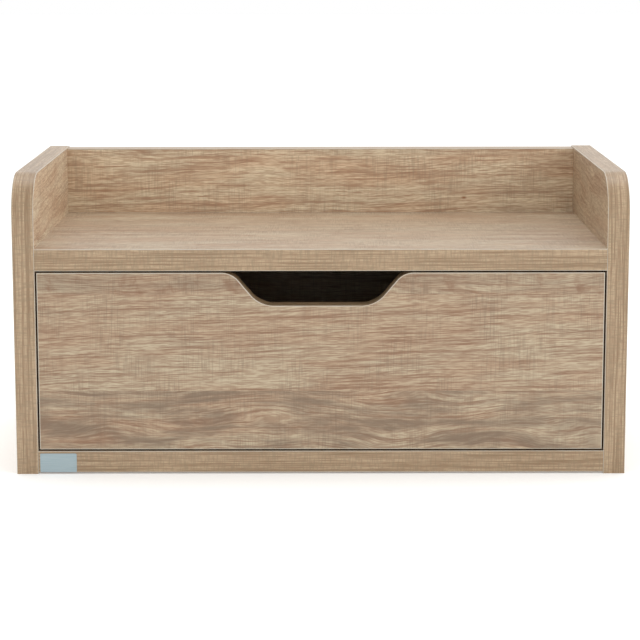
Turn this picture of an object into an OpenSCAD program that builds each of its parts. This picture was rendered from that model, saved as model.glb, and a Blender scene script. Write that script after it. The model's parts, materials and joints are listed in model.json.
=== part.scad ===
// Low entryway bench: two side panels with a rounded upper front corner carry a seat board, a rear
// upstand and a bottom board.  A wide drawer with a hand cut-out runs between them on roller runners.
// Millimetres.  +X is to the right, +Y to the back, +Z up.  The origin is on the floor, in the middle
// of the footprint.

/* [Carcass] */
// Overall width
bench_w = 700; // [640:1:900]
// Overall depth
bench_d = 350; // [350:1:450]
// Overall height of the side panels
bench_h = 345; // [330:1:420]
// Thickness of the decor-faced chipboard
board = 25; // [22:1:28]
// Thickness of the plastic edging strips
edging = 1; // [0.5:0.1:2]
// Radius of the side panels' upper front corner
corner_r = 46; // [20:1:60]
// Height of the seat's top face above the floor
seat_z = 261.5; // [250:0.5:280]
// Height of the bottom board's underside above the floor
bottom_lift = 2; // [1:0.5:10]
// How far the upstand stays below the side panels' tops
upstand_drop = 1.5; // [0:0.5:10]
// Thickness of the hardboard back and drawer bottom
hardboard = 3; // [2.5:0.1:4]

/* [Drawer] */
// Gap between the drawer front and the boards around it
gap = 2; // [1.5:0.1:4]
// Thickness of the drawer's side and back boards
box_board = 12; // [10:1:15]
// Height of the drawer box
box_h = 140; // [100:1:150]
// Height of the drawer box's lower edge above the bottom board
box_lift = 18; // [16:1:24]
// Length of the runners and of the drawer box
runner_l = 300; // [300:1:350]
// Room for a runner on each side of the drawer box
runner_gap = 12.5; // [12.5:0.1:13]

/* [Hand cut-out] */
// Length of the cut-out's flat lower edge
grip_flat = 99; // [80:1:160]
// Depth of the cut-out
grip_depth = 38; // [30:0.5:50]
// Slope of its ends, in degrees
grip_angle = 50; // [40:1:60]
// Radius where an end meets the top edge
shoulder_r = 25; // [10:1:30]
// Radius where an end meets the flat
hollow_r = 35; // [10:1:40]
// Sideways place of its middle
grip_x = -3.5; // [-20:0.5:20]

/* [Hardware] */
// Diameter of the eccentric cams in the carcass
cam_d = 15; // [12:1:20]
// Distance from a board's end to the cam's centre
cam_reach = 34; // [24:1:34]
// Diameter of the dowels
dowel_d = 8; // [6:1:10]
// Length of the dowels
dowel_l = 30; // [25:5:35]
// Diameter of the runner rollers
roller_d = 16; // [12:0.5:18]
// Sheet thickness of the runners
steel = 1.2; // [1:0.1:1.5]

/* [Hidden] */
$fn = 48;

// How far a cut runs past the face that it opens, and the clearance around pressed-in fittings
past = 1;
fit = 0.05;

// Faces of the carcass
front_y = -bench_d / 2;
back_y = bench_d / 2;
inner_x = bench_w / 2 - board;
seat_under_z = seat_z - board;
bottom_top_z = bottom_lift + board;
seat_mid_z = seat_z - board / 2;
bottom_mid_z = bottom_lift + board / 2;
upstand_top_z = bench_h - upstand_drop;
upstand_mid_y = back_y - board / 2;

// Groove for the hardboard back
groove_deep = 8;
groove_play = 0.1;
back_panel_y = back_y - board / 2 - hardboard / 2 + 2;

// Drawer front and box
front_x = inner_x - gap;
front_low_z = bottom_top_z + gap;
front_top_z = seat_under_z - gap;
front_back_y = front_y + board;
grip_turn = shoulder_r + hollow_r;
grip_run = grip_turn * sin(grip_angle)
    + (grip_depth - grip_turn * (1 - cos(grip_angle))) / tan(grip_angle);
box_x = inner_x - runner_gap;
box_z = bottom_top_z + box_lift;
box_back_y = front_back_y + runner_l;
box_groove_z = box_z + 8;
box_groove_deep = 6;

// Cams, bolts and dowels; the first figure of each list is nearest the front
seat_bolt_y = [front_y + 45, back_y - 75];
seat_dowel_y = [front_y + 77, back_y - 43];
upstand_bolt_z = seat_z + 41;
upstand_dowel_z = [seat_z + 19, upstand_top_z - 19];
upstand_foot_x = [-200, 0, 200];
cam_depth = board * 0.68;
bolt_thread_d = 5;
bolt_thread_l = 11;
bolt_shank_d = 5;
bolt_head_d = 7;
bolt_bore_d = 8;
box_cam_d = 12;
box_cam_reach = 24;
box_cam_depth = 9.5;
box_bolt_z = [box_z + 32, box_z + box_h - 32];
box_dowel_z = [box_z + 64];
box_dowel_d = 6;
screw_d = 3.5;
screw_head_d = 6.8;
screw_head_h = 1.2;
screw_sink = 1.9;
screw_tip = 2;
back_screw_l = 36;
back_screw_z = [box_z + 30, box_z + box_h - 30];
cabinet_screw_l = 15;
drawer_screw_l = 10;

// Runners: heights of the channel and of the flange that rolls on the cabinet roller
roller_r = roller_d / 2;
roll_play = 0.3;
roller_w = 4.6;
roller_bore_r = 2.55;
axle_r = 2.5;
axle_head_r = 4;
collar_r = 3.5;
channel_z = box_z - 5;
channel_top_z = channel_z + steel + roller_d + 2.5;
runner_web_top_z = channel_top_z + 4;
flange_under_z = box_z + 19.8;
cabinet_roller_z = flange_under_z - roll_play - roller_r;
drawer_roller_z = channel_z + steel + roll_play + roller_r;
runner_front_y = front_back_y + 1;
cabinet_roller_x = inner_x - steel - 2.4 - roller_w;
cabinet_roller_y = runner_front_y + 12;
drawer_roller_x = box_x + steel + 2.2;
drawer_roller_y = box_back_y - 10;
channel_roof_y = cabinet_roller_y + roller_r + 11;
lip_x = inner_x - 10.6;
runner_screw_y = [-112, 16, 112];
runner_screw_z = channel_z + 10;

// Blank label plate on the bottom board's front
label_w = 42;
label_h = 22;
label_t = 0.3;
label_inset = 2;
label_rise = 0.2;

oak = [0.70, 0.61, 0.50];
oak_core = [0.72, 0.60, 0.44];
strip = [0.74, 0.67, 0.57];
zinc = [0.74, 0.75, 0.76];
beech = [0.82, 0.66, 0.45];
white_steel = [0.90, 0.90, 0.88];
nylon = [0.93, 0.92, 0.88];
brown_board = [0.52, 0.38, 0.26];
plate = [0.66, 0.73, 0.75];

// ---- helpers ----

// A block between two corners
module block(low, high) { translate(low) cube(high - low); }

// A cylinder from point p along +X (dir = 1) or -X (dir = -1)
module rod_x(p, d, l, dir = 1) { translate(p) rotate([0, 90 * dir, 0]) cylinder(h = l, d = d); }

// A cylinder from point p along +Y
module rod_y(p, d, l) { translate(p) rotate([-90, 0, 0]) cylinder(h = l, d = d); }

module both_sides() {
    children();
    mirror([1, 0, 0]) children();
}

// Side panel's outline in the Y-Z plane, drawn inset from its front and top edges
module side_outline(inset) {
    r = corner_r - inset;
    translate([front_y + inset, 0]) square([bench_d - inset, bench_h - corner_r]);
    translate([front_y + corner_r, 0]) square([bench_d - corner_r, bench_h - inset]);
    translate([front_y + corner_r, bench_h - corner_r]) circle(r = r, $fn = 96);
}

// A Y-Z outline extruded from x = low to x = high
module across(low, high) {
    translate([low, 0, 0]) rotate([90, 0, 90]) linear_extrude(height = high - low) children();
}

// Points of an arc about c, from angle a to angle b
function arc(c, r, a, b, steps = 10) =
    [for (i = [0 : steps]) let (t = a + (b - a) * i / steps) c + r * [cos(t), sin(t)]];

// Drawer front's outline in the X-Z plane, inset all round
function front_points(inset) =
    let (
        low = grip_flat / 2,
        high = low + grip_run,
        outer = shoulder_r - inset,
        inner = hollow_r + inset,
        shoulder_z = front_top_z - shoulder_r,
        hollow_z = front_top_z - grip_depth + hollow_r,
        turn = grip_angle
    )
    concat(
        [[-front_x + inset, front_low_z + inset], [front_x - inset, front_low_z + inset],
         [front_x - inset, front_top_z - inset]],
        arc([grip_x + high, shoulder_z], outer, 90, 90 + turn),
        arc([grip_x + low, hollow_z], inner, turn - 90, -90),
        arc([grip_x - low, hollow_z], inner, -90, -90 - turn),
        arc([grip_x - high, shoulder_z], outer, 90 - turn, 90),
        [[-front_x + inset, front_top_z - inset]]
    );

// An X-Z outline extruded from y = low to y = high
module through(low, high) {
    translate([0, high, 0]) rotate([90, 0, 0]) linear_extrude(height = high - low) children();
}

// In a board's end at the side panel: a cam's bore from the underside and its bolt's bore
module cam_bores(y, z, under_z) {
    translate([inner_x - cam_reach, y, under_z - past]) cylinder(h = cam_depth + past, d = cam_d);
    rod_x([inner_x + past, y, z], bolt_bore_d, cam_reach + past, -1);
}

module thread_bore(y, z) { rod_x([inner_x - past, y, z], bolt_thread_d, bolt_thread_l + 1 + past); }

module dowel_bore_x(x, y, z, d, l) { rod_x([x - l / 2 - 1, y, z], d, l + 2); }

// Eccentric cam: a disc with a cross recess in its face and a hollow that takes the bolt's head
module cam(d, depth, hollow_h) {
    difference() {
        cylinder(h = depth - 0.3, d = d - 2 * fit);
        translate([0, 0, hollow_h]) rotate([0, 90, 0]) cylinder(h = d, d = bolt_bore_d);
        translate([0, 0, hollow_h]) cylinder(h = bolt_bore_d - 0.4, d = d - 3, center = true);
        for (turn = [0, 90]) rotate(turn)
            translate([-3, -0.6, depth - 2.8]) cube([6, 1.2, 3]);
    }
}

// Cam bolt along +X: head and shank before x = 0, collar at the joint, thread after it
module cam_bolt(reach) {
    rod_x([-reach - 2, 0, 0], bolt_head_d, 3);
    rod_x([-reach + 1, 0, 0], 3.4, 4);
    rod_x([-reach + 5, 0, 0], bolt_shank_d, reach - 7);
    rod_x([-2, 0, 0], bolt_bore_d - 2 * fit, 2);
    rod_x([0, 0, 0], bolt_thread_d - 2 * fit, bolt_thread_l);
}

// Dowel centred on the origin along Z, with chamfered ends
module dowel(d, l) {
    r = d / 2 - fit;
    rotate_extrude() polygon([[0, -l / 2], [r - 1, -l / 2], [r, -l / 2 + 1], [r, l / 2 - 1],
                              [r - 1, l / 2], [0, l / 2]]);
}

module dowel_x(p, d, l) { translate(p) rotate([0, 90, 0]) dowel(d, l); }

// Screw along +X with a cross recess, its head's face at x = 0; a sunk head tapers to the shank
module screw(l, sunk = false) {
    shank_d = screw_d - 2 * fit;
    head_h = sunk ? screw_sink : screw_head_h;
    rotate([0, 90, 0]) {
        difference() {
            cylinder(h = head_h, d1 = screw_head_d, d2 = sunk ? shank_d : screw_head_d - 0.6);
            for (turn = [0, 90]) rotate(turn)
                translate([-1.8, -0.35, -past]) cube([3.6, 0.7, past + 0.7]);
        }
        translate([0, 0, head_h]) cylinder(h = l - head_h - screw_tip, d = shank_d);
        translate([0, 0, l - screw_tip]) cylinder(h = screw_tip, d1 = shank_d, d2 = 0.8);
    }
}

// Right side panel, bored for the boards, the runner and the back that it holds
module side_panel() {
    color(oak) difference() {
        across(inner_x, inner_x + board) side_outline(edging);
        for (y = seat_bolt_y) thread_bore(y, seat_mid_z);
        for (y = seat_bolt_y) thread_bore(y, bottom_mid_z);
        thread_bore(upstand_mid_y, upstand_bolt_z);
        for (y = seat_dowel_y, z = [seat_mid_z, bottom_mid_z])
            dowel_bore_x(inner_x, y, z, dowel_d, dowel_l);
        for (z = upstand_dowel_z) dowel_bore_x(inner_x, upstand_mid_y, z, dowel_d, dowel_l);
        for (y = runner_screw_y)
            rod_x([inner_x - past, y, runner_screw_z], screw_d, cabinet_screw_l + past);
        block([inner_x - past, back_panel_y - groove_play, bottom_top_z - groove_deep],
              [inner_x + groove_deep, back_panel_y + hardboard + groove_play, seat_under_z + groove_deep]);
    }
}

module side_edging() {
    color(strip) across(inner_x, inner_x + board) difference() {
        side_outline(0);
        translate([0, -past]) side_outline_cut();
    }
}

// What the edging strip surrounds, run past the floor and the back so that both stay open
module side_outline_cut() {
    r = corner_r - edging;
    translate([front_y + edging, 0]) square([bench_d + past, bench_h - corner_r + past]);
    translate([front_y + corner_r, 0]) square([bench_d + past, bench_h - edging + past]);
    translate([front_y + corner_r, bench_h - corner_r + past]) circle(r = r, $fn = 96);
}

module left_side_panel() { mirror([1, 0, 0]) side_panel(); }
module right_side_panel() { side_panel(); }
module left_side_edging() { mirror([1, 0, 0]) side_edging(); }
module right_side_edging() { side_edging(); }

// A horizontal board between the side panels; its cams and the back's groove open as given, and
// the upper one, the seat, is also bored for the upstand's dowels
module cross_board(low_z, mid_z, groove_low_z) {
    color(oak) difference() {
        block([-inner_x, front_y + edging, low_z], [inner_x, back_y, low_z + board]);
        both_sides() {
            for (y = seat_bolt_y) cam_bores(y, mid_z, low_z);
            for (y = seat_dowel_y) dowel_bore_x(inner_x, y, mid_z, dowel_d, dowel_l);
        }
        block([-inner_x - past, back_panel_y - groove_play, groove_low_z],
              [inner_x + past, back_panel_y + hardboard + groove_play, groove_low_z + groove_deep + past]);
        if (mid_z > bottom_top_z) for (x = upstand_foot_x)
            translate([x, upstand_mid_y, seat_z - dowel_l / 2 - 1]) cylinder(h = dowel_l, d = dowel_d);
    }
}

module seat_panel() { cross_board(seat_under_z, seat_mid_z, seat_under_z - past); }
module bottom_panel() { cross_board(bottom_lift, bottom_mid_z, bottom_top_z - groove_deep); }

module front_strip(low_z) {
    color(strip) block([-inner_x, front_y, low_z], [inner_x, front_y + edging, low_z + board]);
}
module seat_edging() { front_strip(seat_under_z); }
module bottom_edging() { front_strip(bottom_lift); }

module upstand_panel() {
    color(oak) difference() {
        block([-inner_x, back_y - board, seat_z], [inner_x, back_y, upstand_top_z - edging]);
        both_sides() {
            translate([inner_x - cam_reach, back_y - cam_depth, upstand_bolt_z])
                rotate([-90, 0, 0]) cylinder(h = cam_depth + past, d = cam_d);
            rod_x([inner_x + past, upstand_mid_y, upstand_bolt_z], bolt_bore_d, cam_reach + past, -1);
            for (z = upstand_dowel_z) dowel_bore_x(inner_x, upstand_mid_y, z, dowel_d, dowel_l);
        }
        for (x = upstand_foot_x)
            translate([x, upstand_mid_y, seat_z - past]) cylinder(h = dowel_l / 2 + past + 1, d = dowel_d);
    }
}

module upstand_edging() {
    color(strip) block([-inner_x, back_y - board, upstand_top_z - edging],
                       [inner_x, back_y, upstand_top_z]);
}

module back_panel() {
    reach = groove_deep - 0.5;
    color(brown_board) block([-inner_x - reach, back_panel_y, bottom_top_z - reach],
                             [inner_x + reach, back_panel_y + hardboard, seat_under_z + reach]);
}

module label_plate() {
    low_x = -inner_x + label_inset;
    low_z = bottom_lift + label_rise;
    color(plate) difference() {
        block([low_x, front_y - label_t, low_z], [low_x + label_w, front_y, low_z + label_h]);
        block([low_x + 1.5, front_y - label_t - past, low_z + 1.5],
              [low_x + label_w - 1.5, front_y - label_t + 0.1, low_z + label_h - 1.5]);
    }
}

// ---- carcass fittings ----

module cams_of(face_z, mid_z) {
    color(zinc) both_sides() for (y = seat_bolt_y)
        translate([inner_x - cam_reach, y, face_z + cam_depth]) rotate([180, 0, 0])
            cam(cam_d, cam_depth, face_z + cam_depth - mid_z);
}
module seat_cams() { cams_of(seat_under_z, seat_mid_z); }
module bottom_cams() { cams_of(bottom_lift, bottom_mid_z); }
module upstand_cams() {
    color(zinc) both_sides() translate([inner_x - cam_reach, back_y - cam_depth, upstand_bolt_z])
        rotate([-90, 0, 0]) cam(cam_d, cam_depth, cam_depth - board / 2);
}

module bolts_of(z) {
    color(zinc) both_sides() for (y = seat_bolt_y) translate([inner_x, y, z]) cam_bolt(cam_reach);
}
module seat_cam_bolts() { bolts_of(seat_mid_z); }
module bottom_cam_bolts() { bolts_of(bottom_mid_z); }
module upstand_cam_bolts() {
    color(zinc) both_sides() translate([inner_x, upstand_mid_y, upstand_bolt_z]) cam_bolt(cam_reach);
}

module dowels_of(z) {
    color(beech) both_sides() for (y = seat_dowel_y) dowel_x([inner_x, y, z], dowel_d, dowel_l);
}
module seat_dowels() { dowels_of(seat_mid_z); }
module bottom_dowels() { dowels_of(bottom_mid_z); }
module upstand_dowels() {
    color(beech) {
        both_sides() for (z = upstand_dowel_z)
            dowel_x([inner_x, upstand_mid_y, z], dowel_d, dowel_l);
        for (x = upstand_foot_x) translate([x, upstand_mid_y, seat_z]) dowel(dowel_d, dowel_l - 2);
    }
}

// ---- runners ----

module cabinet_runner() {
    rear_y = box_back_y + 1;
    color(white_steel) difference() {
        union() {
            block([inner_x - steel, runner_front_y, channel_z], [inner_x, rear_y, runner_web_top_z]);
            block([lip_x, runner_front_y, channel_z], [inner_x, rear_y, channel_z + steel]);
            block([lip_x, runner_front_y, channel_z], [lip_x + 1, rear_y, channel_z + 3]);
            block([inner_x - 8, channel_roof_y, channel_top_z], [inner_x, rear_y, channel_top_z + steel]);
            block([lip_x, rear_y - steel, channel_z], [inner_x, rear_y, channel_top_z + steel]);
        }
        for (y = runner_screw_y) rod_x([inner_x - 2 * steel, y, runner_screw_z], screw_d + 0.2, 4);
        rod_x([inner_x - 2 * steel, cabinet_roller_y, cabinet_roller_z], 2 * axle_r, 4);
    }
}
module left_cabinet_runner() { mirror([1, 0, 0]) cabinet_runner(); }
module right_cabinet_runner() { cabinet_runner(); }

module cabinet_runner_screws() {
    head_x = inner_x - steel - screw_head_h;
    color(zinc) both_sides() for (y = runner_screw_y)
        translate([head_x, y, runner_screw_z]) screw(cabinet_screw_l);
}

module roller(x, y, z) {
    color(nylon) difference() {
        union() {
            rod_x([x, y, z], roller_d, roller_w);
            rod_x([x - 0.2, y, z], roller_d - 8, roller_w + 0.4);
        }
        rod_x([x - past, y, z], 2 * roller_bore_r, roller_w + 2 * past);
    }
}
module cabinet_roller() { roller(cabinet_roller_x, cabinet_roller_y, cabinet_roller_z); }
module drawer_roller() { roller(drawer_roller_x, drawer_roller_y, drawer_roller_z); }
module left_cabinet_roller() { mirror([1, 0, 0]) cabinet_roller(); }
module right_cabinet_roller() { cabinet_roller(); }
module left_drawer_roller() { mirror([1, 0, 0]) drawer_roller(); }
module right_drawer_roller() { drawer_roller(); }

module cabinet_roller_axles() {
    y = cabinet_roller_y;
    z = cabinet_roller_z;
    collar_x = cabinet_roller_x + roller_w + 0.5;
    color(zinc) both_sides() {
        rod_x([cabinet_roller_x - 1.5, y, z], 2 * axle_head_r, 1);
        rod_x([cabinet_roller_x - 1, y, z], 2 * axle_r, inner_x - cabinet_roller_x + 1);
        rod_x([collar_x, y, z], 2 * collar_r, inner_x - steel - collar_x);
    }
}

module drawer_roller_axles() {
    y = drawer_roller_y;
    z = drawer_roller_z;
    web_x = box_x + steel;
    color(zinc) both_sides() {
        rod_x([drawer_roller_x + roller_w + 0.5, y, z], 2 * axle_head_r, 1);
        rod_x([box_x, y, z], 2 * axle_r, drawer_roller_x + roller_w + 1 - box_x);
        rod_x([web_x, y, z], 2 * collar_r, drawer_roller_x - 0.5 - web_x);
    }
}

module drawer_runner() {
    foot_x = box_x - box_board;
    web_x = box_x + steel;
    color(white_steel) difference() {
        union() {
            block([foot_x, runner_front_y, box_z - steel], [web_x, box_back_y, box_z]);
            block([box_x, runner_front_y, box_z - steel], [web_x, box_back_y, flange_under_z + steel]);
            block([box_x, runner_front_y, flange_under_z],
                  [box_x + 9, box_back_y, flange_under_z + steel]);
        }
        for (y = runner_screw_y) translate([box_x - box_board / 2, y, box_z - 2 * steel])
            cylinder(h = 4, d = screw_d + 0.2);
        rod_x([box_x - past, drawer_roller_y, drawer_roller_z], 2 * axle_r, 4);
    }
}
module left_drawer_runner() { mirror([1, 0, 0]) drawer_runner(); }
module right_drawer_runner() { drawer_runner(); }

module drawer_runner_screws() {
    color(zinc) both_sides() for (y = runner_screw_y)
        translate([box_x - box_board / 2, y, box_z - steel - screw_head_h]) rotate([0, -90, 0])
            screw(drawer_screw_l);
}

// ---- drawer ----

module drawer_front() {
    color(oak) difference() {
        through(front_y, front_back_y) polygon(front_points(edging));
        both_sides() {
            for (z = box_bolt_z) rod_y([box_x - box_board / 2, front_back_y - 12, z], bolt_thread_d, 14);
            for (z = box_dowel_z) rod_y([box_x - box_board / 2, front_back_y - 14, z], box_dowel_d, 16);
        }
        block([-box_x + box_board / 2, front_back_y - box_groove_deep, box_groove_z - groove_play],
              [box_x - box_board / 2, front_back_y + past, box_groove_z + hardboard + groove_play]);
    }
}

module drawer_front_edging() {
    color(strip) through(front_y, front_back_y) difference() {
        polygon(front_points(0));
        polygon(front_points(edging));
    }
}

module drawer_side() {
    low_x = box_x - box_board;
    mid_x = box_x - box_board / 2;
    color(oak_core) difference() {
        block([low_x, front_back_y, box_z], [box_x, box_back_y, box_z + box_h]);
        for (z = box_bolt_z) {
            rod_y([mid_x, front_back_y - past, z], bolt_thread_d + 0.5, box_cam_reach + past);
            rod_x([low_x - past, front_back_y + box_cam_reach, z], box_cam_d, box_cam_depth + past);
        }
        for (z = box_dowel_z) rod_y([mid_x, front_back_y - past, z], box_dowel_d, 14 + past);
        for (y = runner_screw_y) translate([mid_x, y, box_z - past])
            cylinder(h = drawer_screw_l - steel - screw_head_h + past, d = screw_d);
        for (z = back_screw_z) {
            rod_x([low_x - past, box_back_y - box_board / 2, z], screw_d, box_board + 2 * past);
            translate([box_x - screw_sink - 0.2, box_back_y - box_board / 2, z]) rotate([0, 90, 0])
                cylinder(h = screw_sink + 0.2, d1 = screw_d, d2 = screw_head_d + 0.5);
        }
        block([low_x - past, front_back_y - past, box_groove_z - groove_play],
              [low_x + box_groove_deep, box_back_y - box_board + box_groove_deep,
               box_groove_z + hardboard + groove_play]);
    }
}
module drawer_left_side() { mirror([1, 0, 0]) drawer_side(); }
module drawer_right_side() { drawer_side(); }

module drawer_back() {
    half = box_x - box_board;
    color(oak_core) difference() {
        block([-half, box_back_y - box_board, box_z], [half, box_back_y, box_z + box_h]);
        both_sides() for (z = back_screw_z) rod_x([half + past, box_back_y - box_board / 2, z],
                                                  screw_d, back_screw_l - box_board + past + 1, -1);
        block([-half - past, box_back_y - box_board - past, box_groove_z - groove_play],
              [half + past, box_back_y - box_board + box_groove_deep,
               box_groove_z + hardboard + groove_play]);
    }
}

module drawer_bottom() {
    reach = box_groove_deep - 0.5;
    half = box_x - box_board + reach;
    color(brown_board) block([-half, front_back_y - reach, box_groove_z],
                             [half, box_back_y - box_board + reach, box_groove_z + hardboard]);
}

module drawer_front_cams() {
    low_x = box_x - box_board;
    color(zinc) both_sides() for (z = box_bolt_z)
        translate([low_x + box_cam_depth, front_back_y + box_cam_reach, z])
            rotate([0, -90, 0]) difference() {
                cylinder(h = box_cam_depth - 0.2, d = box_cam_d - 2 * fit);
                translate([0, 0, box_cam_depth - box_board / 2]) rotate([90, 0, 0])
                    cylinder(h = box_cam_d, d = bolt_thread_d + 0.4);
                translate([0, 0, box_cam_depth - box_board / 2])
                    cylinder(h = bolt_thread_d + 0.2, d = box_cam_d - 3, center = true);
                for (turn = [0, 90]) rotate(turn)
                    translate([-2.5, -0.5, box_cam_depth - 1.6]) cube([5, 1, 2]);
            }
}

module drawer_front_bolts() {
    mid_x = box_x - box_board / 2;
    start_y = front_back_y + box_cam_reach + 1;
    color(zinc) both_sides() for (z = box_bolt_z) {
        rod_y([mid_x, start_y - 2.5, z], 4.8, 2.5);
        rod_y([mid_x, start_y - 6, z], 3, 4);
        rod_y([mid_x, front_back_y - 10, z], bolt_thread_d - 2 * fit, start_y - 5.5 - front_back_y + 10);
    }
}

module drawer_front_dowels() {
    color(beech) both_sides() for (z = box_dowel_z)
        translate([box_x - box_board / 2, front_back_y, z]) rotate([90, 0, 0]) dowel(box_dowel_d, 25);
}

module drawer_back_screws() {
    color(zinc) both_sides() for (z = back_screw_z)
        translate([box_x - 0.1, box_back_y - box_board / 2, z]) rotate([0, 0, 180])
            screw(back_screw_l, sunk = true);
}

left_side_panel();
right_side_panel();
seat_panel();
bottom_panel();
upstand_panel();
back_panel();
left_side_edging();
right_side_edging();
seat_edging();
bottom_edging();
upstand_edging();
label_plate();
seat_cams();
seat_cam_bolts();
seat_dowels();
bottom_cams();
bottom_cam_bolts();
bottom_dowels();
upstand_cams();
upstand_cam_bolts();
upstand_dowels();
left_cabinet_runner();
right_cabinet_runner();
cabinet_runner_screws();
cabinet_roller_axles();
left_cabinet_roller();
right_cabinet_roller();
drawer_front();
drawer_front_edging();
drawer_left_side();
drawer_right_side();
drawer_back();
drawer_bottom();
drawer_front_cams();
drawer_front_bolts();
drawer_front_dowels();
drawer_back_screws();
left_drawer_runner();
right_drawer_runner();
drawer_runner_screws();
drawer_roller_axles();
left_drawer_roller();
right_drawer_roller();
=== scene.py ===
"""Looks of a low entryway bench: oak-decor boards, edging strips, a drawer on roller runners, a studio.

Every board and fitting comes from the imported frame.  The strips that edge the boards and the label
plate are modelled here with eased arrises, and every surface gets its own finish.
"""
import json
import math

import bmesh
import bpy
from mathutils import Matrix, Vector


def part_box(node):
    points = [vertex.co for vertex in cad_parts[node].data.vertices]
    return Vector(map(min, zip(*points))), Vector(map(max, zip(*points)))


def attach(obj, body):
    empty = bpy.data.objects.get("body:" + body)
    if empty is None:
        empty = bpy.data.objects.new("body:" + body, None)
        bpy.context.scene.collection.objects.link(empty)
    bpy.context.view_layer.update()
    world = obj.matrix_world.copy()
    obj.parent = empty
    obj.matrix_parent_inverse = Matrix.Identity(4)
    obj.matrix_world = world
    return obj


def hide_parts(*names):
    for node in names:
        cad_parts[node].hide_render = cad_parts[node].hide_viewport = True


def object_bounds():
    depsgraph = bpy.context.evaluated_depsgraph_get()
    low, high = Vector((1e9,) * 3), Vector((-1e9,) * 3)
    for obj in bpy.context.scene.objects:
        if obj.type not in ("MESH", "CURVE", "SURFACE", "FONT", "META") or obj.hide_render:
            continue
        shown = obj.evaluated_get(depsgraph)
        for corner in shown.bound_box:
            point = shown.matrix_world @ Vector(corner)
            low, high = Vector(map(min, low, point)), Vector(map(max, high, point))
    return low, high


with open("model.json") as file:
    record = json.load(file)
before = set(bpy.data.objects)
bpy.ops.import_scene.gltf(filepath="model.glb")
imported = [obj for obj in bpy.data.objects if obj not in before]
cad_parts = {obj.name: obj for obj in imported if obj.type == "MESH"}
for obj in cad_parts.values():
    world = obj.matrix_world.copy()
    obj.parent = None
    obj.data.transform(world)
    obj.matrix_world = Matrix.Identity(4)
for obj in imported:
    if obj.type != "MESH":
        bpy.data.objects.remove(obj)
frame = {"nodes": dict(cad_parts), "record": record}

bl_info = {
    "name": "Entryway bench finishes",
    "version": (1, 0, 0),
    "blender": (4, 5, 0),
    "location": "View3D > Sidebar > Bench",
    "description": "Edging strips, label, oak decor and studio for a low entryway bench",
    "category": "Object",
}

MM = 0.001
X, Y, Z = 0, 1, 2
CAD_LOW, CAD_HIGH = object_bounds()

# Studio: the camera stands a little above the bench, square to it, with its lens shifted down.
# A softbox has a name, its place and size in metres, and its power in watts
FLOOR_SIZE = 30
LIGHTS_AIM = (0, 0, 0.18)
SOFTBOXES = (("key", (3.4, -2.0, 1.8), 2.0, 39.0), ("top", (0.0, 0.45, 2.4), 1.2, 18.0))
CAMERA_SENSOR = 36.0
CAMERA_LENS = 114.82
CAMERA_SHIFT = -0.10
CAMERA_PLACE = (-1.25 * MM, CAD_LOW[Y] - 2287 * MM, 603.9 * MM)
CAMERA_TILT = (math.pi / 2 - 0.1519, 0.0011, -0.0004)

# Oak decor, in millimetres: gap between year rings, and how far one plank's noise is from the next's
RING_GAP = 7.6
PLANK_STEP = 900.0
# Edging strips: steps round a side panel's corner, and on each scraped arris
CORNER_STEPS = 20
ARRIS_STEPS = 4

MATH = "ShaderNodeMath"
NOISE = "ShaderNodeTexNoise"
MAPPING = "ShaderNodeMapping"
MIX = "ShaderNodeMix"
RANGE = "ShaderNodeMapRange"


def linear(hex_code):
    """Turns an sRGB hex colour into the linear RGBA that the shaders use."""
    parts = [int(hex_code[i:i + 2], 16) / 255 for i in (1, 3, 5)]
    return [p / 12.92 if p <= 0.04045 else ((p + 0.055) / 1.055) ** 2.4 for p in parts] + [1.0]


def colour_property(name, description, hex_code):
    return bpy.props.FloatVectorProperty(name=name, description=description, subtype="COLOR", size=4,
                                         min=0.0, max=1.0, default=linear(hex_code))


class BenchSizes(bpy.types.PropertyGroup):
    """Sizes that the frame leaves to the finish."""

    arris: bpy.props.FloatProperty(
        name="Arris", description="Radius of the scraped edge of every edging strip",
        default=0.7 * MM, min=0.2 * MM, max=0.9 * MM, unit="LENGTH")
    grip_flat: bpy.props.FloatProperty(
        name="Grip flat", description="Length of the hand cut-out's flat lower edge",
        default=99 * MM, unit="LENGTH")
    grip_depth: bpy.props.FloatProperty(
        name="Grip depth", description="Depth of the hand cut-out", default=38 * MM, unit="LENGTH")
    grip_slope: bpy.props.FloatProperty(
        name="Grip slope", description="Slope of the hand cut-out's ends",
        default=math.radians(50), unit="ROTATION", subtype="ANGLE")
    shoulder_radius: bpy.props.FloatProperty(
        name="Shoulder radius", description="Radius where a sloping end meets the drawer's top edge",
        default=25 * MM, unit="LENGTH")
    hollow_radius: bpy.props.FloatProperty(
        name="Hollow radius", description="Radius where a sloping end meets the flat lower edge",
        default=35 * MM, unit="LENGTH")
    grip_middle: bpy.props.FloatProperty(
        name="Grip middle", description="Sideways place of the hand cut-out's middle",
        default=-3.5 * MM, unit="LENGTH")
    corner_radius: bpy.props.FloatProperty(
        name="Corner radius", description="Radius of the side panels' upper front corner",
        default=46 * MM, unit="LENGTH")
    label_corner: bpy.props.FloatProperty(
        name="Label corner", description="Radius of the label plate's corners",
        default=1.5 * MM, unit="LENGTH")


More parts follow.
